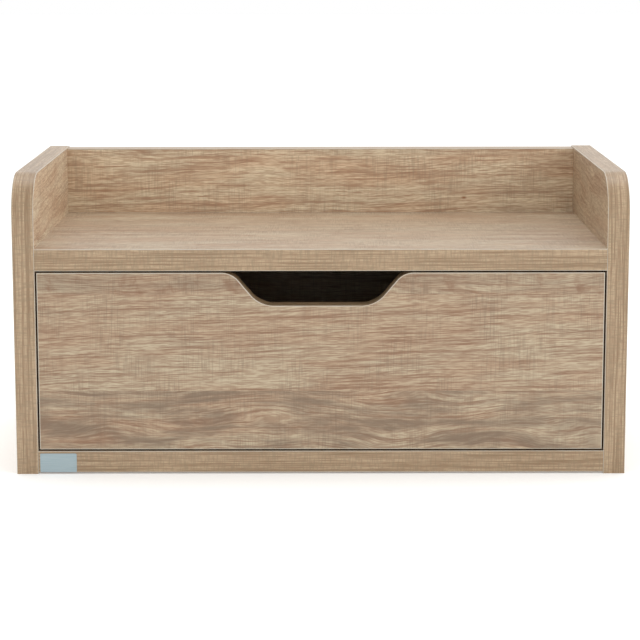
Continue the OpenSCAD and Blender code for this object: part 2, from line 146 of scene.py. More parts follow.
class BenchColours(bpy.types.PropertyGroup):
    """Colours of the finishes."""

    oak_pale: colour_property("Pale oak", "Greenish-beige ground of the decor print", "#B3A287")
    oak_warm: colour_property("Warm oak", "Pinkish-tan ground of the decor print", "#AC9377")
    oak_light: colour_property("Light oak", "Pale early wood lines", "#BDAE91")
    oak_streak: colour_property("Oak streak", "Reddish-brown late wood lines", "#754D30")
    oak_shade: colour_property("Oak shade", "Grey-brown cast of the darker planks", "#6F5B47")
    strip_pale: colour_property("Strip pale", "Light lines of the edging strip's print", "#B1997A")
    strip_dark: colour_property("Strip dark", "Dark lines of the edging strip's print", "#836A4B")
    # The arris colour is partly painted highlight: paler than the scraped plastic, for the light that
    # the round edge catches
    arris: colour_property("Arris", "Scraped plastic and painted highlight where a strip meets a face", "#B7AFA1")
    chip: colour_property("Chipboard", "Raw chipboard on unedged board ends", "#B39B78")
    hardboard: colour_property("Hardboard", "Lacquered face of the hardboard", "#A98B69")
    label: colour_property("Label", "Satin foil of the label plate", "#90A2A8")
    floor: colour_property("Floor", "Studio floor", "#F4F4F2")


# ---- shader building ----

def add(tree, kind, inputs=None, **settings):
    """Adds a node with its settings; inputs maps a socket's name or number to a value or a source."""
    node = tree.nodes.new(kind)
    for key, value in settings.items():
        setattr(node, key, value)
    for key, value in (inputs or {}).items():
        if isinstance(value, bpy.types.Node):
            value = value.outputs[0]
        if isinstance(value, bpy.types.NodeSocket):
            tree.links.new(value, node.inputs[key])
        else:
            node.inputs[key].default_value = value
    return node


def blend_colours(tree, amount, first, second, how="MIX"):
    """Mixes two colours; amount, first and second are values or sources."""
    mixed = add(tree, MIX, {"Factor": amount, 6: first, 7: second}, data_type="RGBA", blend_type=how)
    return mixed.outputs[2]


def new_material(name, constants):
    """A node material with one Principled shader, whose constant sockets are set here."""
    material = bpy.data.materials.new(name)
    material.use_nodes = True
    tree = material.node_tree
    tree.nodes.clear()
    shader = add(tree, "ShaderNodeBsdfPrincipled", constants)
    add(tree, "ShaderNodeOutputMaterial", {0: shader})
    return material, tree, shader


def places_in_mm(tree):
    """The object's own X, Y and Z in millimetres, as three sources."""
    spot = add(tree, "ShaderNodeTexCoord").outputs["Object"]
    scaled = add(tree, "ShaderNodeVectorMath", {0: spot, "Scale": 1 / MM}, operation="SCALE")
    return scaled, add(tree, "ShaderNodeSeparateXYZ", {0: scaled}).outputs


def grain_noise(tree, flat, length, width, detail, roughness, distortion=0.0, shift=0.0):
    """Noise drawn out along the grain: length and width are its typical size in millimetres."""
    placed = add(tree, MAPPING, {"Vector": flat, "Location": (shift, shift * 0.37, shift * 0.11),
                                 "Scale": (1 / length, 1 / width, 1.0)})
    return add(tree, NOISE, {"Vector": placed, "Scale": 1.0, "Detail": detail, "Roughness": roughness,
                             "Distortion": distortion})


def set_bump(tree, shader, height, depth_mm, strength):
    bump = add(tree, "ShaderNodeBump", {"Height": height, "Strength": strength,
                                        "Distance": depth_mm * MM})
    tree.links.new(bump.outputs[0], shader.inputs["Normal"])


def raw_chipboard(tree, scaled, colours):
    """Pressed wood chips 1 to 4 mm long, as on a board end that no strip covers."""
    chips = add(tree, "ShaderNodeTexVoronoi", {"Vector": scaled, "Scale": 0.42, "Randomness": 1.0})
    fine = add(tree, NOISE, {"Vector": scaled, "Scale": 1.1, "Detail": 4.0})
    value = add(tree, "ShaderNodeSeparateXYZ", {0: chips.outputs["Color"]})
    dark = add(tree, RANGE, {"Value": value, "To Min": 0.0, "To Max": 0.5})
    ground = blend_colours(tree, dark, colours.chip, linear("#6E5A44"))
    return blend_colours(tree, fine, ground, linear("#CDBB9C"), "SOFT_LIGHT")


def oak_board(name, along, across, through, planks, seed, span, colours,
              tone=(1.0, 1.0, 1.0), knot=None):
    """Melamine face of a chipboard: an oak decor print, pressed with a fine pore, under a satin resin.

    To the eye: long reddish lines that run with the grain, pale and pinkish ground in soft patches,
    planks of different tone, and a fine cross hatch left by the saw.  planks lists, from the low
    side of the span across the grain, (start, darkness, waviness, rise along the grain, smudges).
    tone multiplies the finished print: painted light that lightens or greys a whole board to stand in
    for the light, shade and sheen that fall on it. knot is a pin knot's place along and across, in mm.
    """
    material, tree, shader = new_material(name, {"IOR": 1.5, "Coat Weight": 0.3,
                                                 "Coat Roughness": 0.36})
    scaled, axes = places_in_mm(tree)
    u, v = axes[along], axes[across]

    # One constant ramp holds the planks: red is darkness, green waviness, blue rise with 0.5 for
    # level, and alpha how strong the smudges are
    share = add(tree, RANGE, {"Value": v, "From Min": span[0] / MM, "From Max": span[1] / MM})
    ramp = add(tree, "ShaderNodeValToRGB", {0: share})
    ramp.color_ramp.interpolation = "CONSTANT"
    ramp.color_ramp.elements.remove(ramp.color_ramp.elements[1])
    for number, (start, dark, wavy, rise, smudges) in enumerate(planks):
        stop = ramp.color_ramp.elements[0] if number == 0 else ramp.color_ramp.elements.new(start)
        stop.position = start
        stop.color = (dark, wavy, 0.5 + 5 * rise, smudges)
    plank = add(tree, "ShaderNodeSeparateColor", {0: ramp})
    dark, wavy, rise = plank.outputs

    # Grain lines bend round a slow warp, more in the wavy planks
    apart = add(tree, MATH, {0: dark, 1: PLANK_STEP}, operation="MULTIPLY")
    depth = add(tree, MATH, {0: apart, 1: seed}, operation="ADD")
    raw = add(tree, "ShaderNodeCombineXYZ", {0: u, 1: v, 2: depth})
    warp = grain_noise(tree, raw, 150, 46, 1.5, 0.45)
    swing = add(tree, RANGE, {"Value": warp, "To Min": -30.0, "To Max": 30.0})
    swing = add(tree, MATH, {0: swing, 1: wavy}, operation="MULTIPLY")
    level = add(tree, MATH, {0: rise, 1: 0.5}, operation="SUBTRACT")
    slope = add(tree, MATH, {0: level, 1: 0.2}, operation="MULTIPLY")
    climb = add(tree, MATH, {0: slope, 1: u}, operation="MULTIPLY")
    bent = add(tree, MATH, {0: v, 1: swing}, operation="ADD")
    bent = add(tree, MATH, {0: bent, 1: climb}, operation="SUBTRACT")
    flat = add(tree, "ShaderNodeCombineXYZ", {0: u, 1: bent, 2: depth})

    # Late wood lines 4 to 9 mm apart, broken into stretches 25 to 70 mm long, and the wider bands
    # in which they crowd together
    streaks = grain_noise(tree, flat, 62, 1.6, 2.0, 0.6, shift=seed)
    bands = grain_noise(tree, flat, 190, 8.5, 2.0, 0.5, shift=seed + 7)
    # Year rings where the board cuts them
    turn = add(tree, MATH, {0: bent, 1: 2 * math.pi / RING_GAP}, operation="MULTIPLY")
    ring = add(tree, MATH, {0: add(tree, MATH, {0: turn}, operation="SINE"), 1: 0.07},
               operation="MULTIPLY")
    thin = add(tree, MATH, {0: streaks, 1: 1.35}, operation="MULTIPLY")
    both = add(tree, MATH, {0: bands, 1: 0.65, 2: thin}, operation="MULTIPLY_ADD")
    both = add(tree, MATH, {0: both, 1: ring}, operation="ADD")
    lines = add(tree, RANGE, {"Value": both, "From Min": 1.02, "From Max": 1.20},
                interpolation_type="SMOOTHSTEP")
    lights = add(tree, RANGE, {"Value": both, "From Min": 0.98, "From Max": 0.80},
                 interpolation_type="SMOOTHSTEP")
    # Fibres 1 mm wide: real ones are finer, and this is as coarse as they need to be to show
    fibres = grain_noise(tree, flat, 13, 1.0, 1.0, 0.6, shift=seed + 13)
    fibre = add(tree, RANGE, {"Value": fibres, "From Min": 0.42, "From Max": 0.58})
    # Soft patches of pinkish and greenish ground
    patches = grain_noise(tree, flat, 130, 20, 2.0, 0.5, shift=seed + 29)
    patch = add(tree, RANGE, {"Value": patches, "From Min": 0.36, "From Max": 0.64},
                interpolation_type="SMOOTHSTEP")
    # Saw marks across the grain, 2 to 3 mm apart, which fade in and out
    saw = grain_noise(tree, raw, 1.4, 30, 1.0, 0.55, shift=seed + 41)
    saw_line = add(tree, RANGE, {"Value": saw, "From Min": 0.42, "From Max": 0.66})
    saw_area = grain_noise(tree, raw, 45, 50, 2.0, 0.5, shift=seed + 53)
    saw_part = add(tree, RANGE, {"Value": saw_area, "From Min": 0.38, "From Max": 0.62})
    hatch = add(tree, MATH, {0: saw_line, 1: saw_part}, operation="MULTIPLY")

    ground = blend_colours(tree, patch, colours.oak_pale, colours.oak_warm)
    ground = blend_colours(tree, add(tree, MATH, {0: lights, 1: 0.36}, operation="MULTIPLY"),
                           ground, colours.oak_light)
    ground = blend_colours(tree, add(tree, MATH, {0: lines, 1: 0.58}, operation="MULTIPLY"),
                           ground, colours.oak_streak)
    ground = blend_colours(tree, add(tree, MATH, {0: fibre, 1: 0.48}, operation="MULTIPLY"),
                           ground, colours.oak_streak)
    ground = blend_colours(tree, add(tree, MATH, {0: hatch, 1: 0.36}, operation="MULTIPLY"),
                           ground, colours.oak_shade)
    # Clouds of grey-brown in the darker planks
    clouds = grain_noise(tree, flat, 70, 12, 3.0, 0.55, shift=seed + 67)
    cloud = add(tree, RANGE, {"Value": clouds, "From Min": 0.38, "From Max": 0.64})
    veil = add(tree, MATH, {0: cloud, 1: dark}, operation="MULTIPLY")
    ground = blend_colours(tree, veil, ground, colours.oak_shade)
    # Dark smudges 10 to 25 mm wide, a little longer across the grain, as where the cut meets a bud
    spots = grain_noise(tree, raw, 20, 26, 3.0, 0.6, distortion=0.6, shift=seed + 71)
    spot = add(tree, RANGE, {"Value": spots, "From Min": 0.50, "From Max": 0.72},
               interpolation_type="SMOOTHSTEP")
    smudge = add(tree, MATH, {0: spot, 1: ramp.outputs["Alpha"]}, operation="MULTIPLY")
    ground = blend_colours(tree, smudge, ground, colours.oak_streak)
    if knot:
        # A pin knot, twice as long along the grain as across it
        place = add(tree, MAPPING, {"Vector": raw, "Scale": (0.5, 1.0, 0.0)})
        away = add(tree, "ShaderNodeVectorMath", {0: place, 1: (knot[0] / 2, knot[1], 0.0)},
                   operation="DISTANCE")
        core = add(tree, RANGE, {"Value": away.outputs["Value"], "From Min": 2.2, "From Max": 0.6})
        ground = blend_colours(tree, core, ground, colours.oak_streak)
    # Painted light: tone lightens or greys the whole print of a board, standing in for the light, shade
    # and sheen that fall on it
    printed = blend_colours(tree, 1.0, ground, (*tone, 1.0), "MULTIPLY")

    # Ends and bores show the raw chipboard
    facing = add(tree, "ShaderNodeTexCoord").outputs["Normal"]
    side = add(tree, "ShaderNodeSeparateXYZ", {0: facing}).outputs[through]
    face = add(tree, MATH, {0: add(tree, MATH, {0: side}, operation="ABSOLUTE"), 1: 0.7},
               operation="GREATER_THAN")
    colour = blend_colours(tree, face, raw_chipboard(tree, scaled, colours), printed)
    tree.links.new(colour, shader.inputs["Base Color"])

    # Satin resin: fibres and hatch are pressed in and a little duller than the ground
    press = add(tree, MATH, {0: fibre, 1: hatch}, operation="ADD")
    satin = add(tree, RANGE, {"Value": press, "From Max": 1.6, "To Min": 0.40, "To Max": 0.54})
    rough = add(tree, MIX, {"Factor": face, 2: 0.9, 3: satin}, data_type="FLOAT")
    tree.links.new(rough.outputs[0], shader.inputs["Roughness"])
    sunk = add(tree, MATH, {0: 1.0, 1: press}, operation="SUBTRACT")
    set_bump(tree, shader, sunk, 0.04, 0.5)
    return material


def edging_strip(name, along_is, across, seed, colours):
    """Printed ABS edging: straight fine lines that run with the strip, a faint hatch, a satin lacquer.

    along_is names the axes whose sum runs along the strip, so the lines turn a corner with it.
    """
    material, tree, shader = new_material(name, {"IOR": 1.53, "Coat Weight": 0.2,
                                                 "Coat Roughness": 0.3})
    _, axes = places_in_mm(tree)
    u = axes[along_is[0]]
    for axis in along_is[1:]:
        u = add(tree, MATH, {0: u, 1: axes[axis]}, operation="ADD").outputs[0]
    flat = add(tree, "ShaderNodeCombineXYZ", {0: u, 1: axes[across], 2: seed})
    # Lines 3 to 5 mm apart on the strip, each 50 to 150 mm long
    lines = grain_noise(tree, flat, 110, 1.9, 2.5, 0.55, shift=seed)
    line = add(tree, RANGE, {"Value": lines, "From Min": 0.36, "From Max": 0.66},
               interpolation_type="SMOOTHSTEP")
    fibres = grain_noise(tree, flat, 13, 1.0, 1.0, 0.6, shift=seed + 5)
    fibre = add(tree, RANGE, {"Value": fibres, "From Min": 0.42, "From Max": 0.6})
    saw = grain_noise(tree, flat, 1.7, 11, 1.0, 0.5, shift=seed + 9)
    saw_line = add(tree, RANGE, {"Value": saw, "From Min": 0.44, "From Max": 0.64})
    tone = grain_noise(tree, flat, 90, 30, 1.0, 0.5, shift=seed + 17)
    ground = blend_colours(tree, line, colours.strip_pale, colours.strip_dark)
    ground = blend_colours(tree, add(tree, MATH, {0: fibre, 1: 0.36}, operation="MULTIPLY"),
                           ground, colours.oak_streak)
    ground = blend_colours(tree, add(tree, MATH, {0: saw_line, 1: 0.5}, operation="MULTIPLY"),
                           ground, linear("#7D6B50"))
    ground = blend_colours(tree, add(tree, MATH, {0: tone, 1: 0.25}, operation="MULTIPLY"),
                           ground, colours.oak_warm)
    tree.links.new(ground, shader.inputs["Base Color"])
    satin = add(tree, RANGE, {"Value": fibre, "To Min": 0.36, "To Max": 0.46})
    tree.links.new(satin.outputs[0], shader.inputs["Roughness"])
    sunk = add(tree, MATH, {0: 1.0, 1: fibre}, operation="SUBTRACT")
    set_bump(tree, shader, sunk, 0.015, 0.5)
    return material


def scraped_and_highlit_arris(colours):
    """ABS edging scraped to a radius: the print is gone, pale plastic shows with dull scuffs and a
    painted highlight.
    """
    if "scraped ABS arris" in bpy.data.materials:
        return bpy.data.materials["scraped ABS arris"]
    material, tree, shader = new_material("scraped ABS arris", {"IOR": 1.53})
    scaled, _ = places_in_mm(tree)
    scuffs = add(tree, NOISE, {"Vector": scaled, "Scale": 0.09, "Detail": 4.0, "Roughness": 0.6})
    scuff = add(tree, RANGE, {"Value": scuffs, "From Min": 0.45, "From Max": 0.72, "To Max": 0.6})
    # Pale scraped plastic with dull scuffs, made paler still as painted highlight on the round edge
    colour = blend_colours(tree, scuff, colours.arris, linear("#B8A285"))
    tree.links.new(colour, shader.inputs["Base Color"])
    dull = add(tree, RANGE, {"Value": scuffs, "To Min": 0.3, "To Max": 0.48})
    tree.links.new(dull.outputs[0], shader.inputs["Roughness"])
    return material


def hardboard_sheet(name, seed, colours):
    """Hardboard with a lacquered face: pressed fibre, small dark flecks, a dull sheen."""
    material, tree, shader = new_material(name, {"IOR": 1.5, "Specular IOR Level": 0.4})
    scaled, _ = places_in_mm(tree)
    moved = add(tree, MAPPING, {"Vector": scaled, "Location": (seed, seed, seed)})
    felt = add(tree, NOISE, {"Vector": moved, "Scale": 0.35, "Detail": 5.0, "Roughness": 0.7})
    flecks = add(tree, NOISE, {"Vector": moved, "Scale": 0.9, "Detail": 2.0})
    fleck = add(tree, RANGE, {"Value": flecks, "From Min": 0.62, "From Max": 0.72, "To Max": 0.5})
    cloudy = add(tree, NOISE, {"Vector": moved, "Scale": 0.012, "Detail": 2.0})
    ground = blend_colours(tree, add(tree, MATH, {0: felt, 1: 0.5}, operation="MULTIPLY"),
                           colours.hardboard, linear("#8A6C4D"))
    ground = blend_colours(tree, add(tree, MATH, {0: cloudy, 1: 0.35}, operation="MULTIPLY"),
                           ground, linear("#C0A37E"))
    ground = blend_colours(tree, fleck, ground, linear("#5E4630"))
    tree.links.new(ground, shader.inputs["Base Color"])
    rough = add(tree, RANGE, {"Value": felt, "To Min": 0.5, "To Max": 0.75})
    tree.links.new(rough.outputs[0], shader.inputs["Roughness"])
    set_bump(tree, shader, felt, 0.08, 0.4)
    return material


def zinc_plate():
    """Bright zinc on die-cast cams and cold-headed steel: small grains and handling marks."""
    material, tree, shader = new_material("zinc plated steel", {"Metallic": 1.0})
    scaled, _ = places_in_mm(tree)
    grains = add(tree, "ShaderNodeTexVoronoi", {"Vector": scaled, "Scale": 1.4})
    marks = add(tree, NOISE, {"Vector": scaled, "Scale": 0.8, "Detail": 5.0, "Roughness": 0.65})
    tint = blend_colours(tree, add(tree, MATH, {0: marks, 1: 0.6}, operation="MULTIPLY"),
                         linear("#CFD1D2"), linear("#9FA3A2"))
    tint = blend_colours(tree, 0.12, tint, grains.outputs["Color"], "SOFT_LIGHT")
    tree.links.new(tint, shader.inputs["Base Color"])
    rough = add(tree, RANGE, {"Value": marks, "To Min": 0.24, "To Max": 0.52})
    tree.links.new(rough.outputs[0], shader.inputs["Roughness"])
    set_bump(tree, shader, marks, 0.03, 0.4)
    return material


def powder_coat():
    """White powder coat on rolled steel: a fine orange peel, faint grey rub marks along its length."""
    material, tree, shader = new_material("white powder coat", {"IOR": 1.5})
    scaled, _ = places_in_mm(tree)
    peel = add(tree, NOISE, {"Vector": scaled, "Scale": 0.9, "Detail": 2.0})
    drawn = add(tree, MAPPING, {"Vector": scaled, "Scale": (1.2, 0.02, 1.2)})
    rubs = add(tree, NOISE, {"Vector": drawn, "Scale": 1.0, "Detail": 3.0})
    rub = add(tree, RANGE, {"Value": rubs, "From Min": 0.55, "From Max": 0.75, "To Max": 0.35})
    colour = blend_colours(tree, rub, linear("#E6E5E0"), linear("#B5B4B0"))
    tree.links.new(colour, shader.inputs["Base Color"])
    rough = add(tree, RANGE, {"Value": rubs, "To Min": 0.34, "To Max": 0.5})
    tree.links.new(rough.outputs[0], shader.inputs["Roughness"])
    set_bump(tree, shader, peel, 0.05, 0.5)
    return material


def moulded_nylon():
    """Moulded nylon: milky and slightly yellow, with a cloudy soft shine."""
    material, tree, shader = new_material("moulded nylon", {"IOR": 1.53, "Subsurface Weight": 0.15})
    scaled, _ = places_in_mm(tree)
    haze = add(tree, NOISE, {"Vector": scaled, "Scale": 0.5, "Detail": 4.0})
    colour = blend_colours(tree, haze, linear("#ECE9DC"), linear("#D8D2BF"))
    tree.links.new(colour, shader.inputs["Base Color"])
    rough = add(tree, RANGE, {"Value": haze, "To Min": 0.3, "To Max": 0.5})
    tree.links.new(rough.outputs[0], shader.inputs["Roughness"])
    set_bump(tree, shader, haze, 0.02, 0.3)
    return material


def turned_beech():
    """Raw turned beech rod: warm pinkish wood with short dark flecks."""
    material, tree, shader = new_material("raw beech", {"IOR": 1.5, "Specular IOR Level": 0.3})
    scaled, _ = places_in_mm(tree)
    flecks = add(tree, NOISE, {"Vector": scaled, "Scale": 1.3, "Detail": 3.0})
    fleck = add(tree, RANGE, {"Value": flecks, "From Min": 0.55, "From Max": 0.7})
    colour = blend_colours(tree, fleck, linear("#D9B68C"), linear("#A97C55"))
    tree.links.new(colour, shader.inputs["Base Color"])
    rough = add(tree, RANGE, {"Value": flecks, "To Min": 0.6, "To Max": 0.8})
    tree.links.new(rough.outputs[0], shader.inputs["Roughness"])
    return material


def satin_foil(colours):
    """Foil under an opaque pale blue lacquer: faint hairlines along the plate, a soft shine."""
    material, tree, shader = new_material("pale blue lacquered foil", {"IOR": 1.5})
    scaled, _ = places_in_mm(tree)
    drawn = add(tree, MAPPING, {"Vector": scaled, "Scale": (0.04, 1.0, 2.2)})
    hairs = add(tree, NOISE, {"Vector": drawn, "Scale": 1.0, "Detail": 3.0})
    hair = add(tree, RANGE, {"Value": hairs, "From Min": 0.3, "From Max": 0.7})
    colour = blend_colours(tree, hair, colours.label, linear("#9FAEB2"))
    tree.links.new(colour, shader.inputs["Base Color"])
    rough = add(tree, RANGE, {"Value": hair, "To Min": 0.34, "To Max": 0.46})
    tree.links.new(rough.outputs[0], shader.inputs["Roughness"])
    set_bump(tree, shader, hair, 0.01, 0.3)
    return material


# ---- shaping ----

def start_block(name, low, high, *materials):
    """A cube primitive set to its size, place and materials, with its origin at the frame's."""
    bpy.ops.object.select_all(action="DESELECT")
    low, high = Vector(low), Vector(high)
    bpy.ops.mesh.primitive_cube_add(size=1, location=(low + high) / 2, scale=high - low)
    bpy.ops.object.transform_apply(location=True, rotation=True, scale=True)
    piece = bpy.context.object
    piece.name = piece.data.name = name
    for material in materials:
        piece.data.materials.append(material)
    return piece


def select_in_mesh(piece, kind, test):
    """In edit mode, selects the edges or faces that pass the test and nothing else."""
    bpy.ops.mesh.select_mode(type={"edges": "EDGE", "faces": "FACE"}[kind])
    bpy.ops.mesh.select_all(action="DESELECT")
    mesh = bmesh.from_edit_mesh(piece.data)
    for item in getattr(mesh, kind):
        if test(item):
            item.select_set(True)
    mesh.select_flush_mode()
    bmesh.update_edit_mesh(piece.data)


def middle(item):
    return sum((v.co for v in item.verts), Vector()) / len(item.verts)


def runs_along(edge, axis):
    """True for an edge parallel to the axis."""
    across = [a for a in (X, Y, Z) if a != axis]
    span = edge.verts[0].co - edge.verts[1].co
    return all(abs(span[a]) < 1e-6 for a in across)


def close_to(a, b):
    return abs(a - b) < 1e-5


def apply_modifier(piece, kind, **settings):
    modifier = piece.modifiers.new(kind.title(), kind)
    for key, value in settings.items():
        setattr(modifier, key, value)
    bpy.context.view_layer.objects.active = piece
    bpy.ops.object.modifier_apply(modifier=modifier.name)


def finish_piece(piece, body, slot, *nodes):
    """Smooths a piece over its eased arrises and lets it ride in place of its CAD nodes."""
    bpy.ops.object.select_all(action="DESELECT")
    piece.select_set(True)
    bpy.context.view_layer.objects.active = piece
    bpy.ops.object.shade_smooth_by_angle(angle=math.radians(30))
    apply_modifier(piece, "WEIGHTED_NORMAL", weight=100, keep_sharp=True)
    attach(piece, body)
    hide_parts(*nodes)


def make_front_strip(name, node, wide, seed, scene):
    """Straight strip on a board's front or top edge, with both outer arrises scraped round."""
    low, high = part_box(node)
    strip = edging_strip("printed ABS edging, " + name.replace("_", " "), [X], wide, seed,
                         scene.bench_colours)
    piece = start_block(name, low, high, strip, scraped_and_highlit_arris(scene.bench_colours))
    outer = (Y, low[Y]) if wide == Z else (Z, high[Z])
    bpy.ops.object.mode_set(mode="EDIT")
    select_in_mesh(piece, "edges",
                   lambda e: runs_along(e, X) and close_to(middle(e)[outer[0]], outer[1]))
    bpy.ops.mesh.bevel(offset=scene.bench_sizes.arris, segments=ARRIS_STEPS, affect="EDGES", material=1)
    bpy.ops.object.mode_set(mode="OBJECT")
    finish_piece(piece, "carcass", "oak_edging", node)


def make_side_strip(name, node, seed, scene):
    """Strip that climbs a side panel's front edge, turns its corner and runs back along its top."""
    sizes, colours = scene.bench_sizes, scene.bench_colours
    low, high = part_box(node)
    panel_low, panel_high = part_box(node.replace("edging", "panel"))
    thick = panel_low[Y] - low[Y]
    radius = sizes.corner_radius
    centre_y, centre_z = low[Y] + radius, high[Z] - radius
    strip = edging_strip("printed ABS edging, " + name.replace("_", " "), [Z, Y], X, seed, colours)
    piece = start_block(name, low, (high[X], low[Y] + thick, centre_z), strip, scraped_and_highlit_arris(colours))
    bpy.ops.object.mode_set(mode="EDIT")
    select_in_mesh(piece, "faces", lambda f: f.normal.z > 0.9)
    bpy.ops.mesh.spin(steps=CORNER_STEPS, angle=math.pi / 2, center=(0, centre_y, centre_z),
                      axis=(1, 0, 0))
    bpy.ops.mesh.extrude_region_move(TRANSFORM_OT_translate={"value": (0, high[Y] - centre_y, 0)})
    bpy.ops.mesh.select_all(action="SELECT")
    bpy.ops.mesh.remove_doubles(threshold=0.01 * MM)
    bpy.ops.mesh.normals_make_consistent(inside=False)

    def outside(vert):
        y, z = vert.co[Y], vert.co[Z]
        turned = math.hypot(y - centre_y, z - centre_z)
        return close_to(y, low[Y]) or close_to(z, high[Z]) or (
            y < centre_y and z > centre_z and close_to(turned, radius))

    select_in_mesh(piece, "edges", lambda e: all(outside(v) for v in e.verts)
                   and close_to(e.verts[0].co[X], e.verts[1].co[X]))
    bpy.ops.mesh.bevel(offset=sizes.arris, segments=ARRIS_STEPS, affect="EDGES", material=1)
    bpy.ops.object.mode_set(mode="OBJECT")
    finish_piece(piece, "carcass", "oak_edging", node)


def round_corner(radius, turn, segments):
    """Bevels the selected edges to a true arc of the radius, where the outline turns by an angle."""
    middle_share = 1 / (2 * (1 + math.cos(turn / 2)))
    bpy.ops.mesh.bevel(offset=radius * math.tan(turn / 2), segments=segments,
                       profile=(1 - middle_share) ** 2, affect="EDGES")


def make_grip_cutter(low, high, sizes):
    """The solid that the hand cut-out removes: a flat floor and two sloping ends."""
    slope = sizes.grip_slope
    half = sizes.grip_flat / 2 + sizes.hollow_radius * math.tan(slope / 2)
    above = 10 * MM
    centre = sizes.grip_middle
    floor = high[Z] - sizes.grip_depth
    cutter = start_block("grip_cutter", (centre - half, low[Y] - above, floor),
                         (centre + half, high[Y] + above, high[Z] + above))
    spread = (sizes.grip_depth + above) / math.tan(slope)
    bpy.ops.object.mode_set(mode="EDIT")
    for side in (-1, 1):
        select_in_mesh(cutter, "edges", lambda e: runs_along(e, Y) and middle(e).z > high[Z]
                       and (middle(e).x - centre) * side > 0)
        bpy.ops.transform.translate(value=(side * spread, 0, 0))
    select_in_mesh(cutter, "edges", lambda e: runs_along(e, Y) and close_to(middle(e).z, floor))
    round_corner(sizes.hollow_radius, slope, 16)
    bpy.ops.object.mode_set(mode="OBJECT")
    return cutter, half + sizes.grip_depth / math.tan(slope)


def make_drawer_strip(scene):
    """Strip that runs round the drawer front and down through the hand cut-out."""
    sizes, colours = scene.bench_sizes, scene.bench_colours
    low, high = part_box("drawer_front_edging")
    inner_low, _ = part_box("drawer_front")
    thick = inner_low[X] - low[X]
    cutter, shoulder = make_grip_cutter(low, high, sizes)
    strip = edging_strip("printed ABS edging, drawer strip", [X], Y, 61.0, colours)
    piece = start_block("drawer_strip", low, high, strip, scraped_and_highlit_arris(colours), strip)
    apply_modifier(piece, "BOOLEAN", object=cutter, operation="DIFFERENCE", solver="EXACT")
    bpy.data.objects.remove(cutter)
    bpy.ops.object.mode_set(mode="EDIT")
    select_in_mesh(piece, "edges", lambda e: runs_along(e, Y) and close_to(middle(e).z, high[Z])
                   and close_to(abs(middle(e).x - sizes.grip_middle), shoulder))
    round_corner(sizes.shoulder_radius, sizes.grip_slope, 14)
    select_in_mesh(piece, "faces", lambda f: abs(f.normal.y) > 0.9)
    bpy.ops.mesh.delete(type="FACE")
    bpy.ops.object.mode_set(mode="OBJECT")
    apply_modifier(piece, "SOLIDIFY", thickness=thick, offset=-1.0, use_even_offset=True,
                   material_offset=2, material_offset_rim=1)
    bpy.ops.object.mode_set(mode="EDIT")
    select_in_mesh(piece, "edges", lambda e: not runs_along(e, Y)
                   and {f.material_index for f in e.link_faces} == {0, 1})
    bpy.ops.mesh.bevel(offset=sizes.arris, segments=ARRIS_STEPS, affect="EDGES", material=1)
    bpy.ops.object.mode_set(mode="OBJECT")
    finish_piece(piece, "drawer", "oak_edging", "drawer_front_edging")


def make_label(scene):
    """Blank plate on the bottom board: rounded corners and a raised rim round a sunk field."""
    sizes, colours = scene.bench_sizes, scene.bench_colours
    low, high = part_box("label_plate")
    piece = start_block("blank_label", low, high, satin_foil(colours))
    rim, sunk, ease = 0.9 * MM, 0.12 * MM, 0.08 * MM
    bpy.ops.object.mode_set(mode="EDIT")
    select_in_mesh(piece, "edges", lambda e: runs_along(e, Y))
    bpy.ops.mesh.bevel(offset=sizes.label_corner, segments=6, affect="EDGES")
    select_in_mesh(piece, "edges", lambda e: close_to(e.verts[0].co.y, low[Y])
                   and close_to(e.verts[1].co.y, low[Y]))
    bpy.ops.mesh.bevel(offset=ease, segments=2, affect="EDGES")
    select_in_mesh(piece, "faces", lambda f: f.normal.y < -0.9 and f.calc_area() > 1e-4)
    bpy.ops.mesh.inset(thickness=rim)
    bpy.ops.mesh.inset(thickness=sunk, depth=-sunk)
    bpy.ops.object.mode_set(mode="OBJECT")
    finish_piece(piece, "carcass", "label", "label_plate")


def paint(material, *nodes):
    """Gives CAD nodes a finish through their own material slots."""
    for name in nodes:
        piece = frame["nodes"][name]
        if not piece.material_slots:
            piece.data.materials.append(material)
        for holder in piece.material_slots:
            holder.material = material


def span_of(node, axis):
    low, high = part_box(node)
    return low[axis], high[axis]


# ---- operators ----

class BENCH_OT_edging_strips(bpy.types.Operator):
    """Make the strips on the carcass boards, with scraped arrises"""

    bl_idname = "bench.edging_strips"
    bl_label = "Edging Strips"

    def execute(self, context):
        make_side_strip("left_side_strip", "left_side_edging", 3.0, context.scene)
        make_side_strip("right_side_strip", "right_side_edging", 19.0, context.scene)
        make_front_strip("seat_strip", "seat_edging", Z, 31.0, context.scene)
        make_front_strip("bottom_strip", "bottom_edging", Z, 47.0, context.scene)
        make_front_strip("upstand_strip", "upstand_edging", Y, 53.0, context.scene)
        return {"FINISHED"}


class BENCH_OT_drawer_strip(bpy.types.Operator):
    """Make the strip round the drawer front and its hand cut-out"""

    bl_idname = "bench.drawer_strip"
    bl_label = "Drawer Strip"

    def execute(self, context):
        make_drawer_strip(context.scene)
        return {"FINISHED"}


class BENCH_OT_label_plate(bpy.types.Operator):
    """Make the blank label plate"""

    bl_idname = "bench.label_plate"
    bl_label = "Label Plate"

    def execute(self, context):
        make_label(context.scene)
        return {"FINISHED"}


